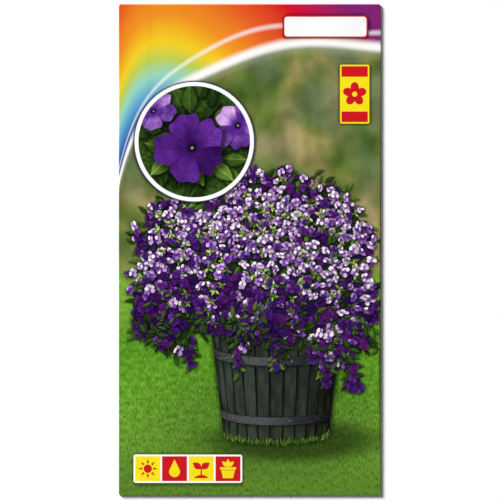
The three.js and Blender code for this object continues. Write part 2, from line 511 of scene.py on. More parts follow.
def flower_mass():
    """The cushion of small blooms and leaves that spills over the planter, from the back to the front."""
    rng = random.Random(23)
    ring = []
    for angle in np.linspace(0, 2 * math.pi, 160, endpoint=False):
        places = (polar(*MASS[0][0], angle, reach) for reach in np.arange(60, 0, -0.5))
        ring.append(next(place for place in places if in_mass(*place, grow=-1.5)))
    yield Motif(foliage_ink, ring, values=(0.15, 0, 0), casts=0.8)

    for _ in range(20):
        x = rng.choice([rng.uniform(-37, -15), rng.uniform(-12, 20), rng.uniform(19, 38)])
        y = next(v for v in np.arange(-45, 30, 0.5) if in_mass(x, v)) + 2
        yield from shoot((x, y), -math.pi / 2 + rng.uniform(-0.5, 0.5), rng.uniform(5, 12), rng)

    yield from leaf_layer(rng, 330, 1.6, 0.2, (2.6, 4.2), (0.2, 0.6))
    yield from bloom_layer(rng, 260, 2.0, 0.0, light=0.6)
    yield from leaf_layer(rng, 240, 1.9, -0.2, (2.2, 3.8), (0.3, 0.8))
    yield from bloom_layer(rng, 360, 1.9, -0.2, light=0.9)
    yield from leaf_layer(rng, 85, 2.2, -0.6, (1.2, 2.2), (0.5, 1.0), least_clump=0.0, sprig=4)
    yield from bloom_layer(rng, 330, 2.0, 0.0, light=1.0)
    yield from leaf_layer(rng, 65, 2.4, -0.4, (1.0, 1.9), (0.65, 1.2), least_clump=-0.1, sprig=4)
    yield from leaf_layer(
        rng, 75, 2.3, 0.3, (2.2, 3.6), (0.3, 0.85), least_clump=-0.6, sprig=2, most_sun=0.36
    )


def header_height(x, sine, exponent):
    """The height of the header's lower edge at x, a number or a Value. It falls steeply towards the left."""
    slope = (HEADER_RIGHT - HEADER_LEFT) / WIDTH
    wave = sine(x * HEADER_WAVE_RATE + HEADER_WAVE_START) * HEADER_WAVE
    fall = exponent((x + WIDTH / 2) / -HEADER_FALL_WIDTH) * HEADER_FALL
    return x * slope + wave - fall + (HEADER_LEFT + HEADER_RIGHT) / 2


def header():
    """The band of colour across the top, with a bare white label in a thin red frame."""
    xs = LEFT_FOLD[-1] + (RIGHT_FOLD[-1] - LEFT_FOLD[-1]) * np.linspace(0, 1, 100) ** 1.7
    band = [(x, header_height(x, math.sin, math.exp)) for x in xs]
    band += [(xs[-1], FLAP_END + 1), (xs[0], FLAP_END + 1)]
    x0, y0, x1, y1 = LABEL
    label = rectangle(x0 + LABEL_FRAME, y0 + LABEL_FRAME, x1 - LABEL_FRAME, y1 - LABEL_FRAME, 0.9)
    yield Motif(header_ink, band)
    yield flat(rectangle(*LABEL, 1.2), (200, 20, 40), 0.5)
    yield flat(label, WHITE)


def inset():
    """A round close-up of one bloom, with two paler ones and leaves behind it."""
    rng = random.Random(47)
    ground = Motif(foliage_ink, circle(*INSET, INSET_RADIUS, 96), values=(0.55, 0, 0))
    yield flat(circle(*INSET, INSET_RADIUS + 1.5, 96), (70, 62, 92), 0.8)
    yield flat(circle(*INSET, INSET_RADIUS + 1.2, 96), WHITE)
    yield ground

    leaves = 34
    for k in range(leaves):
        angle = 2 * math.pi * k / leaves * 5 + rng.uniform(-0.3, 0.3)
        start = polar(*INSET, angle, rng.uniform(4, 13))
        length = rng.uniform(6.5, 9.5)
        tone = rng.uniform(0.12, 0.62)
        way = angle + rng.uniform(-0.8, 0.8)
        yield leaf(start, way, length, length * 0.52, rng, tone, 1.2, ground)
    for angle, reach, radius, tone, squash in ((0.35, 14.2, 9.0, 0.54, 0.85), (2.5, 15.5, 7.5, 0.56, 0.8)):
        yield bloom(polar(*INSET, angle, reach), radius, rng, tone, 1.6, 14, squash, ground, 0.1)
    for angle in (3.7, 5.4):
        yield leaf(polar(*INSET, angle, 8.5), angle + 0.2, 8.5, 4.6, rng, 0.66, 1.2, ground)
    yield bloom(polar(*INSET, 4.4, 2.0), 12.2, rng, 0.28, 2.2, 22, 0.95, ground, 0.3)


def icon(kind, centre, size, colour):
    """A sun, a drop, a flower, a sprout or a potted plant, as flat shapes. size is half its height."""

    def shape(outline, offset=(0, 0), matrix=UPRIGHT, colour=colour):
        place = (centre[0] + size * offset[0], centre[1] + size * offset[1])
        return Motif(flat_ink, outline, place, size * np.array(matrix), rgb(*colour))

    if kind == "sun":
        for k in range(8):
            yield shape([(0.56, -0.13), (1.0, 0), (0.56, 0.13)], matrix=turned(k * math.pi / 4, 1, 1))
        yield shape(circle(0, 0, 0.42, 24))
    elif kind == "drop":
        sides = [(-math.sin(a) * 0.55, -0.3 - 0.55 * math.cos(a)) for a in np.linspace(-2.2, 2.2, 21)]
        yield shape(sides[::-1] + [(0, 0.95)])
    elif kind == "flower":
        for k in range(PETALS):
            angle = math.pi / 2 + 2 * math.pi * k / PETALS
            yield shape(circle(0, 0, 1, 16), polar(0, 0, angle, 0.52), turned(angle, 0.4, 0.32))
        yield shape(circle(0, 0, 0.2, 14), colour=YELLOW)
    elif kind == "sprout":
        yield shape(rectangle(-0.07, -0.75, 0.07, 0.1))
        yield shape([(-0.75, -0.95), (0.75, -0.95), (0.45, -0.7), (0, -0.6), (-0.45, -0.7)])
        for angle in (0.62, 2.52):
            yield shape(LEAF_OUTLINE, matrix=turned(angle, 1.05, 0.34))
    else:
        yield shape([(-0.5, -0.95), (0.5, -0.95), (0.68, -0.15), (-0.68, -0.15)])
        yield shape(rectangle(-0.8, -0.1, 0.8, 0.16))
        for angle in (0.75, 1.57, 2.4):
            yield shape(LEAF_OUTLINE, (0, 0.2), turned(angle, 0.8, 0.2))


def pictograms():
    """A white strip with a row of square fields, yellow and red in turn, and an icon in each."""
    kinds = ("sun", "drop", "sprout", "pot")
    (left, low), size = PICTOGRAMS, PICTOGRAM_SIZE
    pitch = size + PICTOGRAM_GAP
    right, high = left + len(kinds) * pitch + PICTOGRAM_GAP, low + pitch + PICTOGRAM_GAP
    yield flat(rectangle(left, low, right, high, 0.7), (252, 252, 250), 0.5)
    for k, kind in enumerate(kinds):
        x, y = left + PICTOGRAM_GAP + k * pitch, low + PICTOGRAM_GAP
        field, ink = (RED, YELLOW) if k % 2 else (YELLOW, RED)
        yield flat(rectangle(x, y, x + size, y + size), field)
        yield from icon(kind, (x + size / 2, y + size / 2), size * 0.4, ink)


def badge():
    """A tall yellow label with a flower on it between two bare red bars."""
    (left, low), (width, height) = BADGE, BADGE_SIZE
    yield flat(rectangle(left, low, left + width, low + height, 0.5), YELLOW, 0.5)
    for y in (low + BADGE_FRAME, low + height - BADGE_FRAME - BADGE_BAR):
        yield flat(rectangle(left + BADGE_FRAME, y, left + width - BADGE_FRAME, y + BADGE_BAR), RED)
    yield from icon("flower", (left + width / 2, low + height / 2), 4.0, RED)


# The back's layout, from the middle of the back panel

BACK_MIDDLE = (RIGHT_FOLD[-1] + RIGHT_END) / 2
BACK_HALF = (RIGHT_END - RIGHT_FOLD[-1]) / 2
FIELD_HALF = (36.5, 56.0)
FIELD_FRAME = 0.6
BAND_LOW = 43.0
STEPS_Y = 28.0
STEPS_PITCH = 24.0
STEP_RADIUS = 10.0
STEP_ICONS = (("sprout", GREEN), ("drop", (60, 120, 190)), ("sun", (230, 140, 30)))
MONTH_PITCH = 5.5
MONTH_GAP = 0.4
MONTHS = (8.4, 12.6)
MONTH_ROWS = 3.6
MONTH_ROW_PITCH = 4.6
MONTH_ROW_HEIGHT = 3.6
MONTH_BARS = ((1, 3, (235, 190, 40)), (3, 5, (110, 165, 60)), (5, 10, (104, 60, 150)))


def back_box(x0, y0, x1, y1, colour, radius):
    """A rounded rectangle of one colour on the back panel."""
    return flat(rectangle(BACK_MIDDLE + x0, y0, BACK_MIDDLE + x1, y1, radius), colour)


def calendar():
    """A sowing calendar without lettering: a row of months, and a bar of some of them in each row below."""

    def months(first, last, low, high, colour, radius):
        left, right = (MONTH_PITCH * (month - 6) for month in (first, last))
        return back_box(left, low, right - MONTH_GAP, high, colour, radius)

    for month in range(12):
        yield months(month, month + 1, *MONTHS, (206, 222, 176), 0.5)
    for row, (first, last, colour) in enumerate(MONTH_BARS):
        low = MONTH_ROWS - MONTH_ROW_PITCH * row
        high = low + MONTH_ROW_HEIGHT
        yield months(0, 12, low, high, (236, 236, 224), 0.5)
        yield months(first, last, low + 0.5, high - 0.5, colour, 0.4)


def back_border():
    """Leaves and blooms along the foot of the back panel."""
    rng = random.Random(61)
    for x, y in scatter(70, ((-35, -54), (35, -31)), lambda x, y: y < -38 - 5 * math.cos(x / 9), 3.0, rng):
        angle = math.pi / 2 + rng.gauss(0, 0.9)
        length = rng.uniform(4, 6.5)
        tone = rng.uniform(0.25, 0.8)
        yield leaf((BACK_MIDDLE + x, y), angle, length, length * 0.5, rng, tone, 0.7)
    for x, y in scatter(34, ((-32, -52), (32, -33)), lambda x, y: y < -40 - 5 * math.cos(x / 9), 5.0, rng):
        radius = rng.uniform(2.8, 3.8)
        yield bloom((BACK_MIDDLE + x, y), radius, rng, rng.uniform(0.2, 0.8), 1.0, 8)


def back_print():
    """The back panel: a framed pale field with a band of colour, growing steps, a calendar and a border."""
    ground = rectangle(RIGHT_FOLD[-1] - 0.1, -END_FOLD[0] - 1, RIGHT_END + 1, END_FOLD[0] + 1)
    yield Motif(back_ink, ground)
    x, y = FIELD_HALF
    yield back_box(-x, -y, x, y, GREEN, 2.2)
    x, y = x - FIELD_FRAME, y - FIELD_FRAME
    yield back_box(-x, -y, x, y, (250, 249, 240), 1.8)
    yield Motif(sweep_ink, rectangle(BACK_MIDDLE - x, BAND_LOW, BACK_MIDDLE + x, y, 1.8))
    for k, (kind, colour) in enumerate(STEP_ICONS):
        centre = (BACK_MIDDLE + STEPS_PITCH * (k - 1), STEPS_Y)
        yield flat(circle(*centre, STEP_RADIUS, 64), GREEN)
        yield flat(circle(*centre, STEP_RADIUS - FIELD_FRAME, 64), (228, 238, 205))
        yield from icon(kind, centre, 5.6, colour)
    yield from calendar()
    yield from back_border()


def artwork():
    """Every printed motif, from the bottom layer to the top one. The first one is the blank itself."""
    x0, x1 = LEFT_FOLD[0], RIGHT_FOLD[0]
    y0, y1 = END_FOLD[0], END_FOLD[-1]
    tip0, tip1 = x0 + END_FLAP_TAPER, x1 - END_FLAP_TAPER
    blank = [(x0, -y0), (x0, -y1), (tip0, -FLAP_END), (tip1, -FLAP_END), (x1, -y1), (x1, -y0)]
    blank += [(RIGHT_END, -y0), (RIGHT_END, y0), (x1, y0), (x1, y1), (tip1, FLAP_END), (tip0, FLAP_END)]
    blank += [(x0, y1), (x0, y0), (LEFT_END, y0), (LEFT_END, -y0)]
    bare = rectangle(LEFT_END - 1, -y0 - 1, LEFT_FOLD[-1], y0 + 1)
    front = (*planter(), *grass_at_foot(), *flower_mass(), *header(), *inset(), *pictograms(), *badge())
    return [Motif(scenery_ink, blank), *front, *back_print(), Motif(paper_ink, bare)]


# The blank's mesh


def grid(low, high, step):
    """Places that fill a rectangle, about step apart and half that from its sides."""
    shares = [(np.arange(n) + 0.5) / n for n in (math.ceil((high[k] - low[k]) / step) for k in (0, 1))]
    places = np.stack(np.meshgrid(*shares), axis=-1).reshape(-1, 2)
    return np.array(low) + places * np.subtract(high, low)


def panel_places(front_step, back_step):
    """Places all over the front panel, the back panel and the seam flap."""
    end = END_FOLD[0]
    return [
        grid((LEFT_FOLD[0], -end), (RIGHT_FOLD[0], end), front_step),
        grid((RIGHT_FOLD[-1], -end), (RIGHT_END, end), back_step),
        grid((LEFT_END, -end), (LEFT_FOLD[-1], end), back_step),
    ]


def fold_lines(start):
    """The ends of the lines along which the blank bends, and each line's two numbers, counted from start."""
    end = END_FOLD[0]
    upright = [((s, -end), (s, end)) for s in (*LEFT_FOLD, *RIGHT_FOLD)]
    level = [((LEFT_FOLD[0], t), (RIGHT_FOLD[0], t)) for t in (*END_FOLD, *-END_FOLD)]
    ends = np.array(upright + level).reshape(-1, 2)
    return ends, (start + np.arange(len(ends))).reshape(-1, 2).tolist()


def cut(groups, edges, faces):
    """Triangles between all the groups' places, along the edges, and only within the faces if there are any.

    Returns the places and the triangles, the numbers that each place had in the groups, and the numbers of
    the faces that cover each triangle.
    """
    vectors = [Vector(place) for place in np.concatenate(groups).tolist()]
    kind = 1 if faces else 0
    places, _, triangles, sources, _, covers = delaunay_2d_cdt(vectors, edges, faces, kind, LEAST_STEP)
    return np.array([tuple(place) for place in places]), np.array(triangles), sources, covers


def sides_of(triangles):
    """All the triangles' first sides, then their second and their third ones, as pairs of places."""
    return np.concatenate([triangles[:, [0, 1]], triangles[:, [1, 2]], triangles[:, [2, 0]]])


def inside(places, outline):
    """Which places lie within an outline."""
    x, y = places[:, 0, None], places[:, 1, None]
    x0, y0 = outline.T
    x1, y1 = np.roll(outline, -1, axis=0).T
    crosses = x0 + (y - y0) * (x1 - x0) / np.where(y1 == y0, 1, y1 - y0)
    return np.sum(((y0 > y) != (y1 > y)) & (x < crosses), axis=1) % 2 == 1


def gaps(places, outline):
    """How far each place is from an outline, or 0 within it."""
    along = np.roll(outline, -1, axis=0) - outline
    to = places[:, None] - outline
    share = np.clip(np.sum(to * along, axis=2) / np.maximum(np.sum(along**2, axis=1), 1e-12), 0, 1)
    away = np.sqrt(np.min(np.sum((to - share[..., None] * along) ** 2, axis=2), axis=1))
    return np.where(inside(places, outline), 0, away)


def finder(places):
    """A function that gives the numbers of the places in the box round an outline, made bigger by reach."""
    order = np.argsort(places[:, 0])
    xs = places[order, 0]

    def find(outline, reach=0.0):
        low, high = outline.min(axis=0) - reach, outline.max(axis=0) + reach
        some = order[np.searchsorted(xs, low[0]) : np.searchsorted(xs, high[0])]
        y = places[some, 1]
        return some[(y > low[1]) & (y < high[1])]

    return find


def top_motifs(motifs, places):
    """The number of the motif that shows at each place, or -1 off the blank."""
    find = finder(places)
    top = np.full(len(places), -1)
    for number, motif in enumerate(motifs):
        near = find(motif.outline)
        near = near[inside(places[near], motif.outline)]
        if motif.within:
            near = near[inside(places[near], motif.within.outline)]
        top[near] = number
    return np.where(inside(places, motifs[0].outline), top, -1)


def clip_numbers(motifs):
    """The number of the motif within which each one shows, which is 0, the blank, for most."""
    order = {id(motif): number for number, motif in enumerate(motifs)}
    return [order[id(motif.within)] if motif.within else 0 for motif in motifs]


def seen_edges(motifs):
    """The parts of the motifs' outlines that aren't covered: places, and pairs of their numbers."""
    groups, faces, count = [], [], 0
    for motif in motifs:
        outline = motif.outline
        x, y = outline.T
        if np.dot(x, np.roll(y, -1)) < np.dot(y, np.roll(x, -1)):
            outline = outline[::-1]
        groups.append(outline)
        faces.append(list(range(count, count + len(outline))))
        count += len(outline)
    places, triangles, _, covers = cut(groups, [], faces)
    clips = clip_numbers(motifs)
    top = [max(k for k in over if clips[k] in over) if 0 in over else -1 for over in covers]

    pairs, group = np.unique(np.sort(sides_of(triangles), axis=1), axis=0, return_inverse=True)
    group = group.reshape(-1)
    lowest, highest = np.full(len(pairs), len(motifs)), np.full(len(pairs), -1)
    np.minimum.at(lowest, group, np.tile(top, 3))
    np.maximum.at(highest, group, np.tile(top, 3))
    seen = (lowest != highest) | ((np.bincount(group) == 1) & (highest >= 0))
    return straightened(places, pairs[seen])


def straightened(places, pairs):
    """The same lines without the places that only divide a straight part."""
    links = {}
    for first, last in pairs.tolist():
        links.setdefault(first, set()).add(last)
        links.setdefault(last, set()).add(first)
    for middle in list(links):
        if len(links[middle]) != 2:
            continue
        first, last = links[middle]
        back, ahead = places[first] - places[middle], places[last] - places[middle]
        bend = abs(back[0] * ahead[1] - back[1] * ahead[0])
        if bend < 1e-3 * math.hypot(*back) * math.hypot(*ahead) and np.dot(back, ahead) < 0:
            del links[middle]
            links[first].symmetric_difference_update((middle, last))
            links[last].symmetric_difference_update((middle, first))
    kept = sorted(links)
    number = {place: k for k, place in enumerate(kept)}
    edges = [(number[first], number[last]) for first in kept for last in links[first] if first < last]
    return places[kept], edges


def shadow_places(motifs):
    """Places across the motifs' soft shadows, where those fall on something."""
    rings, owners = [], []
    for number, motif in enumerate(motifs):
        if not motif.casts:
            continue
        length = np.sum(np.linalg.norm(motif.outline - np.roll(motif.outline, 1, axis=0), axis=1))
        wanted = max(12, int(length / SHADOW_STEP))
        outline = motif.outline[:: max(1, len(motif.outline) // wanted)]
        middle = outline.mean(axis=0)
        away = outline - middle
        reach = np.maximum(np.linalg.norm(away, axis=1), 0.1)[:, None]
        for share in SHADOW_RINGS:
            rings.append(middle + away * (1 + share * motif.casts / reach))
            owners.append(np.full(len(outline), number))
    places, owners = np.concatenate(rings), np.concatenate(owners)
    top = top_motifs(motifs, places)
    return places[(top >= 0) & (top < owners)]


def printed_side(motifs):
    """The blank cut along every outline that shows: its places, its triangles and each one's motif."""
    places, edges = seen_edges(motifs)
    lines, line_edges = fold_lines(len(places))
    groups = [places, lines, shadow_places(motifs), *panel_places(FRONT_STEP, BACK_STEP)]
    blank, triangles, *_ = cut(groups, edges + line_edges, [])
    top = top_motifs(motifs, blank[triangles].mean(axis=1))
    triangles, top = triangles[top >= 0], top[top >= 0]
    used, triangles = np.unique(triangles, return_inverse=True)
    return blank[used], triangles.reshape(-1, 3), top


def plain_side(rim):
    """The blank's other side, with few triangles. rim is the places round it, which come first."""
    lines, edges = fold_lines(len(rim))
    groups = [rim, lines, *panel_places(BACK_STEP, 2 * BACK_STEP)]
    places, triangles, sources, _ = cut(groups, edges, [list(range(len(rim)))])
    number = np.full(len(places), -1)
    for place, before in enumerate(sources):
        if before and min(before) < len(rim):
            number[place] = min(before)
    inner = number < 0
    number[inner] = len(rim) + np.arange(np.sum(inner))
    ordered = np.empty_like(places)
    ordered[number] = places
    return ordered, number[triangles]


def rim_of(triangles):
    """The numbers of the places round a sheet's edge, in order."""
    sides = sides_of(triangles)
    count = triangles.max() + 1
    free = sides[~np.isin(sides @ [count, 1], sides @ [1, count])]
    after = dict(free.tolist())
    rim = [int(free[0, 0])]
    while after[rim[-1]] != rim[0]:
        rim.append(after[rim[-1]])
    return np.array(rim)


def rim_walls(rim, behind):
    """The triangles between a sheet's rim and the places behind it on its other side."""
    walls = [np.roll(rim, -1), rim, behind, np.roll(rim, -1), behind, np.roll(behind, -1)]
    return np.stack(walls, axis=1).reshape(-1, 3)


def shadows(motifs, places, top):
    """How deep each triangle's corner lies in the soft shadows of the motifs above its own."""
    find = finder(places)
    clips = clip_numbers(motifs)
    depth = np.zeros(len(places))
    for number, motif in enumerate(motifs):
        if motif.casts:
            near = find(motif.outline, 1.5 * motif.casts)
            near = near[(top[near] < number) & (top[near] >= clips[number])]
            lit_from = places[near] + SHADOW_SHIFT * motif.casts * np.array(SUN_WAY)
            shade = 1 - smooth_step(gaps(lit_from, motif.outline), 0, motif.casts)
            depth[near] = np.maximum(depth[near], shade)
    return depth


def shade_smoothly(mesh, points, faces, ways, wall_count):
    """Gives both sides their own directions, and each wall at the end of faces its flat one."""
    mesh.shade_smooth()
    mesh.set_sharp_from_angle(angle=math.radians(50))
    corner_a, corner_b, corner_c = points[faces[-wall_count:].T]
    wall_ways = np.repeat(np.cross(corner_b - corner_a, corner_c - corner_a), 3, axis=0)
    wall_ways /= np.linalg.norm(wall_ways, axis=1)[:, None]
    side_ways = ways[faces[:-wall_count].reshape(-1)]
    mesh.normals_split_custom_set(np.concatenate([side_ways, wall_ways]).tolist())


def add_inks(mesh, motifs, top):
    """A material for each ink. The faces of top show their motifs' inks, and all the others bare paper."""
    inks = sorted({motif.ink for motif in motifs}, key=lambda ink: ink.__name__)
    for ink in inks:
        mesh.materials.append(ink_material(ink))
    slots = np.full(len(mesh.polygons), inks.index(paper_ink), dtype=np.int32)
    slots[: len(top)] = np.array([inks.index(motif.ink) for motif in motifs])[top]
    mesh.polygons.foreach_set("material_index", slots)


def write_map(mesh, name, places):
    """A UV map with a place for each corner."""
    layer = mesh.uv_layers.new(name=name)
    layer.uv.foreach_set("vector", places.astype(np.float32).reshape(-1))


def add_motif_maps(mesh, motifs, top, places):
    """Tells the inks each corner's place within its motif, the motif's values and the depth of shadow."""
    printed = len(top)
    inverses = np.array([np.linalg.inv(motif.matrix) for motif in motifs])[top]
    centres = np.array([motif.centre for motif in motifs])[top]
    own = np.zeros((len(places), 2))
    own[:printed] = np.einsum("nij,nj->ni", inverses, places[:printed] - centres)
    write_map(mesh, "Motif", own)

    values = np.zeros((len(places), 4))
    values[:printed, :3] = np.array([motif.values for motif in motifs])[top]
    values[:printed, 3] = shadows(motifs, places[:printed], top)
    ink = mesh.color_attributes.new("Ink", "FLOAT_COLOR", "CORNER")
    ink.data.foreach_set("color", values.reshape(-1))


def bake_places(places, printed, plain_end, on_printed):
    """The export map's coordinates. The printed side fills it, and the rest lies small in an empty corner.

    The first places are the printed side's, those up to plain_end the other side's, and the last the walls'.
    """
    margin = 1
    size = 2 * (FLAP_END + margin)
    corner = [(RIGHT_FOLD[-1] + 3 - LEFT_END) / size, 1.5 / size]
    small = 0.075
    bake = corner + (places - [LEFT_END, -FLAP_END]) / size * small
    bake[plain_end:, 0] += np.where(on_printed[plain_end:], 0.10, 0.105)
    bake[:printed] = (places[:printed] - [LEFT_END - margin, -FLAP_END - margin]) / size
    return bake


def add_object(name, data):
    """A new object in the scene."""
    added = bpy.data.objects.new(name, data)
    bpy.context.scene.collection.objects.link(added)
    return added


def envelope_object(motifs):
    """The printed sheet, folded: one closed mesh with a material for each ink."""
    blank, triangles, top = printed_side(motifs)
    count = len(blank)
    rim = rim_of(triangles)
    plain, plain_triangles = plain_side(blank[rim])
    walls = rim_walls(rim, count + np.arange(len(rim)))
    faces = np.concatenate([triangles, plain_triangles[:, ::-1] + count, walls])
    printed_points, _, printed_ways = folded(blank)
    _, plain_points, plain_ways = folded(plain)
    points = np.concatenate([printed_points, plain_points]) * MM

    mesh = bpy.data.meshes.new("envelope_sheet")
    mesh.from_pydata(points.tolist(), [], faces.tolist())
    shade_smoothly(mesh, points, faces, np.concatenate([printed_ways, -plain_ways]), len(walls))
    add_inks(mesh, motifs, top)
    corners = faces.reshape(-1)
    places = np.concatenate([blank, plain])[corners]
    write_map(mesh, "Blank", places)
    add_motif_maps(mesh, motifs, np.repeat(top, 3), places)
    plain_end = triangles.size + plain_triangles.size
    write_map(mesh, "OFBake", bake_places(places, triangles.size, plain_end, corners < count))
    return add_object("printed_envelope", mesh)


# Shader values

# The numbers of the Mix node's colour sockets
MIX_FIRST = 6
MIX_SECOND = 7
MIX_RESULT = 2


def feed(tree, node, inputs):
    """Gives a node's inputs, by name or number, a Value or a constant each."""
    for key, item in inputs.items():
        if isinstance(item, Value):
            tree.links.new(item.socket, node.inputs[key])
        else:
            node.inputs[key].default_value = item


def add_node(tree, kind, inputs, **settings):
    """A new node with these inputs and settings."""
    node = tree.nodes.new(kind)
    for name, setting in settings.items():
        setattr(node, name, setting)
    feed(tree, node, inputs)
    return node


class Value:
    """A number or colour in a material's nodes, so that a shader's maths can be written as arithmetic."""

    def __init__(self, tree, socket):
        self.tree = tree
        self.socket = socket

    def through(self, kind, inputs, output=0, **settings):
        """What comes out of a new node in this value's tree."""
        return Value(self.tree, add_node(self.tree, kind, inputs, **settings).outputs[output])

    def maths(self, operation, *others):
        """The result of one of the Math node's operations."""
        inputs = dict(enumerate((self, *others)))
        return self.through("ShaderNodeMath", inputs, operation=operation)

    __add__ = __radd__ = partialmethod(maths, "ADD")
    __sub__ = partialmethod(maths, "SUBTRACT")
    __mul__ = __rmul__ = partialmethod(maths, "MULTIPLY")
    __truediv__ = partialmethod(maths, "DIVIDE")
    __pow__ = partialmethod(maths, "POWER")
    __abs__ = partialmethod(maths, "ABSOLUTE")
    sine = partialmethod(maths, "SINE")
    exponent = partialmethod(maths, "EXPONENT")

    def __rsub__(self, other):
        return self * -1 + other

    def step(self, low, high):
        """0 below low, 1 above high and a smooth rise between them; falls instead if low is above high."""
        least, most = (0, 1) if low < high else (1, 0)
        ends = {"From Min": min(low, high), "From Max": max(low, high), "To Min": least, "To Max": most}
        kind = "ShaderNodeMapRange"
        return self.through(kind, {"Value": self, **ends}, "Result", interpolation_type="SMOOTHSTEP")

    def ramp(self, stops):
        """The colour at this number, from stops of a place and three channels each."""
        node = add_node(self.tree, "ShaderNodeValToRGB", {"Fac": self})
        elements = node.color_ramp.elements
        while len(elements) < len(stops):
            elements.new(0.5)
        for element, (place, *colour) in zip(elements, stops, strict=True):
            element.position = place
            element.color = (*rgb(*colour), 1)
        return Value(self.tree, node.outputs["Color"])

    def mixed(self, share, other):
        """This colour where share is 0 and the other where it is 1, which is a Value or three channels."""
        other = other if isinstance(other, Value) else (*rgb(*other), 1)
        inputs = {"Factor": share, MIX_FIRST: self, MIX_SECOND: other}
        return self.through("ShaderNodeMix", inputs, MIX_RESULT, data_type="RGBA")

    def scaled(self, by):
        """This colour times a number."""
        return self.through("ShaderNodeVectorMath", {0: self, "Scale": by}, operation="SCALE")


def noise(x, y, detail=2.0, roughness=0.5, distortion=0.0):
    """Blender's noise at two coordinates, about 0.2 to 0.8."""
    place = x.through("ShaderNodeCombineXYZ", {"X": x, "Y": y})
    grain = {"Scale": 1, "Detail": detail, "Roughness": roughness, "Distortion": distortion}
    return x.through("ShaderNodeTexNoise", {"Vector": place, **grain}, "Fac", noise_dimensions="2D")


def read_map(tree, name):
    """The two coordinates of a UV map."""
    uv_map = add_node(tree, "ShaderNodeUVMap", {}, uv_map=name)
    split = add_node(tree, "ShaderNodeSeparateXYZ", {0: Value(tree, uv_map.outputs["UV"])})
    return Value(tree, split.outputs["X"]), Value(tree, split.outputs["Y"])


def read_ink(tree):
    """What a motif tells its ink: its colour, the same as three values, and the depth of shadow on it."""
    ink = add_node(tree, "ShaderNodeAttribute", {}, attribute_name="Ink")
    colour = Value(tree, ink.outputs["Color"])
    split = add_node(tree, "ShaderNodeSeparateColor", {0: colour})
    return colour, [Value(tree, part) for part in split.outputs], Value(tree, ink.outputs["Alpha"])


# Inks: each gives the paper's colour. A tone is a place from 0 to 1 and a colour of 0 to 255 a channel

PAPER_TONES = ((0.3, 226, 225, 219), (0.7, 243, 242, 237))
TREE_TONES = ((0.3, 66, 92, 36), (0.44, 96, 114, 50), (0.56, 120, 122, 62), (0.7, 162, 146, 98))
NEAR_LAWN_TONES = ((0.22, 42, 92, 12), (0.4, 72, 133, 26), (0.56, 98, 158, 38), (0.76, 140, 192, 70))
FAR_LAWN_TONES = ((0.3, 106, 152, 42), (0.7, 132, 176, 64))
BACK_TONES = ((0, 206, 222, 170), (0.7, 244, 246, 228))
WOOD_TONES = ((0.05, 16, 18, 14), (0.35, 42, 48, 40), (0.65, 74, 82, 74), (0.95, 122, 128, 112))
IRON_TONES = ((0.0, 12, 13, 15), (0.45, 44, 46, 50), (0.8, 104, 106, 108))
HEADER_EDGE = (252, 250, 246)
SWEEP = (
    (0.0, 44, 26, 112),
    (0.09, 38, 62, 152),
    (0.17, 84, 158, 206),
    (0.24, 148, 212, 190),
    (0.3, 188, 206, 80),
    (0.36, 242, 206, 36),
    (0.46, 240, 146, 34),
    (0.62, 228, 92, 36),
    (0.8, 212, 18, 34),
    (1.0, 128, 34, 112),
)
PETAL_TONES = (
    (0.0, 26, 8, 66),
    (0.2, 58, 22, 108),
    (0.42, 94, 44, 148),
    (0.6, 152, 102, 190),
    (0.78, 210, 170, 222),
    (1.0, 254, 243, 252),
)
LEAF_TONES = (
    (0.0, 16, 28, 10),
    (0.3, 38, 62, 22),
    (0.55, 70, 104, 36),
    (0.78, 120, 152, 62),
    (1.0, 204, 218, 132),
)


def paper_ink(tree):
    """Bare white paper, inside the envelope and at its cut edges."""
    x, y = read_map(tree, "Blank")
    return noise(x * 2.5, y * 0.9, 4.0, 0.6).ramp(PAPER_TONES)


def flat_ink(tree):
    """The motif's own colour."""
    return read_ink(tree)[0]


def garden_colour(x, y):
    """Out-of-focus trees and shrubs."""
    colour = noise(x * 0.062 + 3, y * 0.05, 2.0, 0.55).ramp(TREE_TONES)
    haze = noise(x * 0.05 + 20, y * 0.055 + 5, 1.0).step(0.4, 0.68)
    patches = noise(x * 0.16 + 7, y * 0.13, 2.0).step(0.3, 0.7)
    return colour.mixed(haze * 0.6, (104, 118, 88)).scaled(0.86 + patches * 0.34)


def lawn_colour(x, y):
    """Mown grass, finer and paler with distance."""
    near = y.step(HORIZON, -HEIGHT / 2)
    blades = noise(x * 2.3, y * 0.8, 4.0, 0.65)
    tufts = noise(x * 0.5, y * 0.7, 2.0)
    shade = blades * (0.45 + near * 0.55) + tufts * 0.35 + 0.03
    near_colour = shade.ramp(NEAR_LAWN_TONES).scaled(0.9 - y.step(-40, -HEIGHT / 2) * 0.44)
    return near_colour.mixed(y.step(HORIZON - 26, HORIZON - 6), tufts.ramp(FAR_LAWN_TONES))


def scenery_ink(tree):
    """The picture's background, from the garden to the lawn, with the planter's shadow on the ground."""
    x, y = read_map(tree, "Blank")
    uneven = noise(x * 0.09, y * 0.02, 1.0)
    scene = garden_colour(x, y).mixed((y + uneven * 7).step(HORIZON + 7, HORIZON), lawn_colour(x, y))

    foot = ((x - PLANTER_X - 5) / 27) ** 2 + ((y - PLANTER_BASE + 2) / 6.5) ** 2
    wide = ((x - PLANTER_X) / 44) ** 2 + ((y - PLANTER_BASE - 6) / 20) ** 2
    scene = scene.scaled(1 - foot.step(1.5, 0.3) * 0.68)
    scene = scene.scaled(1 - wide.step(1.2, 0.2) * 0.3)

    below = header_height(x, Value.sine, Value.exponent) - y
    scene = scene.mixed(below.step(5.0, 0.5) * 0.25, (225, 228, 205))
    return scene.mixed(below.step(2.2, 0.3), HEADER_EDGE)


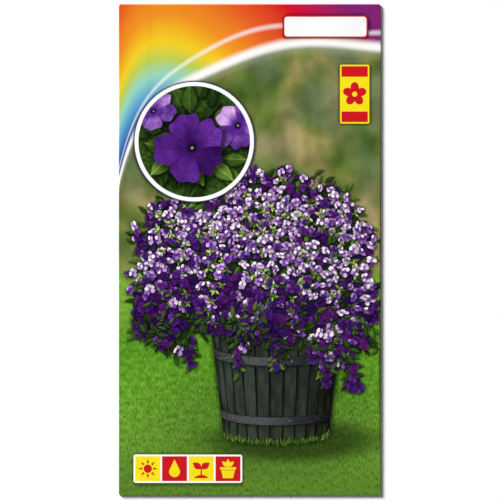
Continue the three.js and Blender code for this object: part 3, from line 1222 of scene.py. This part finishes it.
def header_ink(tree):
    """A sweep of the rainbow across the band, over a white glow along its wavy edge."""
    x, y = read_map(tree, "Blank")
    above = y - header_height(x, Value.sine, Value.exponent)
    place = (x + WIDTH / 2) / WIDTH + above * 0.012 + (x * 0.11).sine() * 0.03
    streak = abs(above - 5.5 - (x * 0.09 + 2).sine() * 1.6).step(1.3, 0)
    colour = place.ramp(SWEEP).mixed(streak * 0.55, (255, 255, 255))
    return colour.mixed(above.step(2.6, 0.2), HEADER_EDGE)


def sweep_ink(tree):
    """The same colours along the back panel's band."""
    x, y = read_map(tree, "Blank")
    return ((x - BACK_MIDDLE + BACK_HALF) / (2 * BACK_HALF) + y * 0.01 - 0.5).ramp(SWEEP)


def back_ink(tree):
    """The back panel's pale ground, a little deeper towards its foot."""
    y = read_map(tree, "Blank")[1]
    return y.step(-HEIGHT / 2, HEIGHT / 2).ramp(BACK_TONES)


def bloom_ink(tree):
    """Petals with fine veins, a dark throat, and light on the side towards the sun."""
    u, v = read_map(tree, "Motif")
    tone, seed, uneven = read_ink(tree)[1]
    radius = (u**2 + v**2) ** 0.5
    turn = v.maths("ARCTAN2", u) * (PETALS / (2 * math.pi)) - seed
    across = turn.maths("FRACT") - 0.5
    petal = turn.maths("FLOOR").maths("FLOORED_MODULO", PETALS)
    tilt = (petal * 2.4 + seed * 40).sine() * radius.step(0.1, 0.45)

    away = radius.maths("MAXIMUM", 0.02)
    facing = (u * SUN_WAY[0] + v * SUN_WAY[1]) / away
    sideways = (u * SUN_WAY[1] - v * SUN_WAY[0]) / away
    limb = radius.step(0.12, 0.75)
    light = 0.98 + facing * (limb * 0.26 - 0.13) - sideways * across * limb * 0.5 + tilt * 0.12

    fold_line = abs(across).step(0.40, 0.5) * radius.step(0.15, 0.6)
    midvein = abs(across).step(0.045, 0.0) * radius.step(1.0, 0.5)
    branch = (abs(across) * 46 - radius * 30).sine().step(0.4, 1.0) * radius.step(0.2, 0.45)
    crumple = noise(u * 3.1 + seed * 20, v * 3.1, 3.0, 0.6)
    light = light * (1 - fold_line * 0.35) * (1 - midvein * 0.35) * (1 - branch * 0.22)
    light = light * (0.75 + crumple * 0.5)

    crease = noise(u * 1.5 + seed * 31, v * 1.5 + uneven * 17, 2.0, 0.6) - 0.5
    sheen = abs(crease).step(0.05, 0.0) * radius.step(0.2, 0.5)
    pale_edge = radius.step(0.62, 1.0) * (uneven * 0.2 - 0.04) + sheen * tone * uneven * 0.5
    lit = facing * limb * 0.3 + tilt * 0.4 - sideways * across * limb * 0.7
    tinted = tone + lit * tone * (uneven * 1.3 + 0.35) + (crumple - 0.5) * (tone * uneven * 1.2 + 0.12)
    tinted = tinted + pale_edge - radius.step(0.55, 0.12) * 0.18
    warmer = tinted.ramp(PETAL_TONES).mixed(uneven * (1 - tone) * 0.4, (128, 34, 132))
    colour = warmer.scaled(light).mixed(radius.step(0.2, 0.06), (20, 8, 34))
    return colour.mixed(radius.step(0.05, 0.02), (150, 160, 90))


def leaf_ink(tree):
    """A leaf with a pale midrib and side veins, lighter on the half that faces the sun."""
    u, v = read_map(tree, "Motif")
    tone, seed, light = read_ink(tree)[1]
    side = v.maths("SIGN") * (light * 2 - 1)
    veins = (u * 8 - abs(v) * 1.9 + seed).maths("FRACT").step(0.16, 0.0)
    midrib = abs(v).step(0.16, 0.04)
    blotch = noise(u * 4 + seed * 30, v * 2, 2.0)
    shade = tone + side * 0.1 + (blotch - 0.5) * 0.25 - u.step(0.4, 0.0) * 0.12
    shade = shade + veins * 0.07 * abs(v).step(0.1, 0.4) + midrib * 0.14
    colour = shade.ramp(LEAF_TONES)
    return colour.mixed(seed * 0.3, colour.scaled(0.72))


def foliage_ink(tree):
    """The dark inside of a plant, where single leaves can't be told apart."""
    x, y = read_map(tree, "Blank")
    tone = read_ink(tree)[1][0]
    leaves = noise(x * 0.9, y * 0.9, 4.0, 0.6)
    return (leaves * 0.6 + tone * 0.4 - 0.16).ramp(LEAF_TONES)


def wood_ink(tree):
    """Weathered, mossy oak with an upright grain."""
    x, y = read_map(tree, "Blank")
    tone, seed, _ = read_ink(tree)[1]
    grain = noise(x * 3.6 + seed * 40, y * 0.22, 4.0, 0.62, 0.4)
    stain = noise(x * 0.3 + seed * 9, y * 0.16, 2.0)
    shade = tone * 0.75 + (grain - 0.5) * 0.5 + (stain - 0.5) * 0.35 + 0.05
    moss = y.step(PLANTER_BASE + 12, PLANTER_BASE - 4) * stain.step(0.4, 0.65)
    return shade.ramp(WOOD_TONES).mixed(moss * 0.5, (50, 72, 28))


def iron_ink(tree):
    """A dark iron hoop, brightest towards the sun."""
    x, y = read_map(tree, "Blank")
    round_it = (x - PLANTER_X + 7) / PLANTER_TOP_HALF
    rust = noise(x * 1.2, y * 1.2, 4.0, 0.6)
    shade = (1 - round_it**2 * 0.75) * 0.62 + (rust - 0.5) * 0.4
    return shade.ramp(IRON_TONES).mixed(rust.step(0.56, 0.7) * 0.5, (84, 58, 40))


# Materials

PAPER_ROUGHNESS = 0.3
BARE_ROUGHNESS = 0.75
VARNISH = 0.3
VARNISH_ROUGHNESS = 0.12
SHADOW_STRENGTH = 0.78
PAPER_GRAIN = 0.000012
FOIL_TONES = ((0.3, 188, 191, 196), (0.7, 222, 224, 228))
CLAY_TONES = ((0.3, 182, 136, 82), (0.7, 214, 176, 124))


def new_material(name):
    """A material, its node tree and its shader."""
    material = bpy.data.materials.new(name)
    material.use_nodes = True
    tree = material.node_tree
    return material, tree, tree.nodes["Principled BSDF"]


def relief(height, distance):
    """The direction of a surface that stands out by a height, in metres for 1."""
    return height.through("ShaderNodeBump", {"Height": height, "Distance": distance}, "Normal")


def ink_material(ink):
    """Grained paper, either bare or printed with the motifs' soft shadows and varnished."""
    material, tree, shader = new_material(ink.__name__)
    x, y = read_map(tree, "Blank")
    grain = noise(x * 1.6, y * 1.6, 3.0) * 0.7 + noise(x * 0.22, y * 0.3, 1.0) * 2.2
    colour = ink(tree)
    if ink is paper_ink:
        gloss = {"Roughness": BARE_ROUGHNESS}
    else:
        colour = colour.scaled(1 - read_ink(tree)[2] * SHADOW_STRENGTH)
        gloss = {"Roughness": PAPER_ROUGHNESS, "Coat Weight": VARNISH, "Coat Roughness": VARNISH_ROUGHNESS}
    feed(tree, shader, {"Base Color": colour, "Normal": relief(grain, PAPER_GRAIN), **gloss})
    return material


def speckled(name, scale, detail, tones, height, roughness, metallic=0):
    """A material whose colour and relief follow a noise fixed to the object."""
    material, tree, shader = new_material(name)
    place = Value(tree, add_node(tree, "ShaderNodeTexCoord", {}).outputs["Object"])
    inputs = {"Vector": place, "Scale": scale, "Detail": detail}
    speckle = place.through("ShaderNodeTexNoise", inputs, "Fac")
    looks = {"Base Color": speckle.ramp(tones), "Normal": relief(speckle, height)}
    feed(tree, shader, {**looks, "Roughness": roughness, "Metallic": metallic})
    return material


def foil_film():
    """Crinkled metallised film."""
    return speckled("foil_film", 260, 4, FOIL_TONES, 0.0002, 0.3, metallic=1)


def seed_coat():
    """The chalky clay that pelleted seeds are coated in."""
    return speckled("seed_coat", 4200, 3, CLAY_TONES, 0.00004, 0.85)


# The studio

PICTURE_MM = 152.4
LENS = 120
SENSOR = 36
FLOOR_SIZE = 2.0
BACKGROUND = 0.9
AMBIENT_LIGHT = 0.16
KEY_LIGHT = 5.9
KEY_ELEVATION = 29
KEY_SOFTNESS = 26
FILL_LIGHT = 0.55
FILL_ELEVATION = 40
FILL_SOFTNESS = 50


def sun(name, strength, azimuth, elevation, softness):
    """A lamp far away at an azimuth, anticlockwise from +X, and an elevation, all in degrees."""
    light = bpy.data.lights.new(name, "SUN")
    light.energy = strength
    light.angle = math.radians(softness)
    lamp = add_object(name, light)
    lamp.rotation_euler = (0, math.radians(90 - elevation), math.radians(azimuth))
    return lamp


def add_camera():
    """A camera that looks straight down on the packet."""
    camera = add_object("camera", bpy.data.cameras.new("camera"))
    camera.data.lens = LENS
    camera.data.sensor_width = SENSOR
    camera.data.clip_start = 0.01
    camera.location = (0, 0, EDGE_THICKNESS * MM + PICTURE_MM * MM * LENS / SENSOR)
    bpy.context.scene.camera = camera


def add_table():
    """The white table that the packet lies on."""
    half = FLOOR_SIZE / 2
    corners = [(-half, -half, 0), (half, -half, 0), (half, half, 0), (-half, half, 0)]
    mesh = bpy.data.meshes.new("table")
    mesh.from_pydata(corners, [], [(0, 1, 2, 3)])
    material, tree, shader = new_material("white_table")
    feed(tree, shader, {"Base Color": (0.95, 0.95, 0.95, 1), "Roughness": 0.9, "Specular IOR Level": 0.1})
    mesh.materials.append(material)
    add_object("table", mesh)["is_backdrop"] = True


def add_light():
    """Soft light from the upper left, and a pale background that only the camera sees."""
    key = sun("key", KEY_LIGHT, 135, KEY_ELEVATION, KEY_SOFTNESS)
    ambient = sun("ambient", AMBIENT_LIGHT, 0, 90, 180)
    for lamp in (key, ambient):
        lamp.visible_glossy = False
    sun("fill", FILL_LIGHT, -60, FILL_ELEVATION, FILL_SOFTNESS)

    world = bpy.data.worlds.new("background")
    bpy.context.scene.world = world
    world.use_nodes = True
    background = world.node_tree.nodes["Background"]
    feed(world.node_tree, background, {"Color": (1, 1, 1, 1), "Strength": BACKGROUND})
    world.cycles_visibility.diffuse = False
    world.cycles_visibility.glossy = False
    bpy.context.scene.view_settings.view_transform = "Standard"


envelope = envelope_object(artwork())
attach(envelope, "root")
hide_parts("envelope")

foil = foil_film()
coat = seed_coat()
for name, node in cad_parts.items():
    if name != "envelope":
        node.data.materials.clear()
        node.data.materials.append(coat if name.startswith("seed") else foil)

add_camera()
add_table()
add_light()

boxes = {"cad": cad_box, "visual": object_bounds()}
{name: [list(corner) for corner in box] for name, box in boxes.items()}
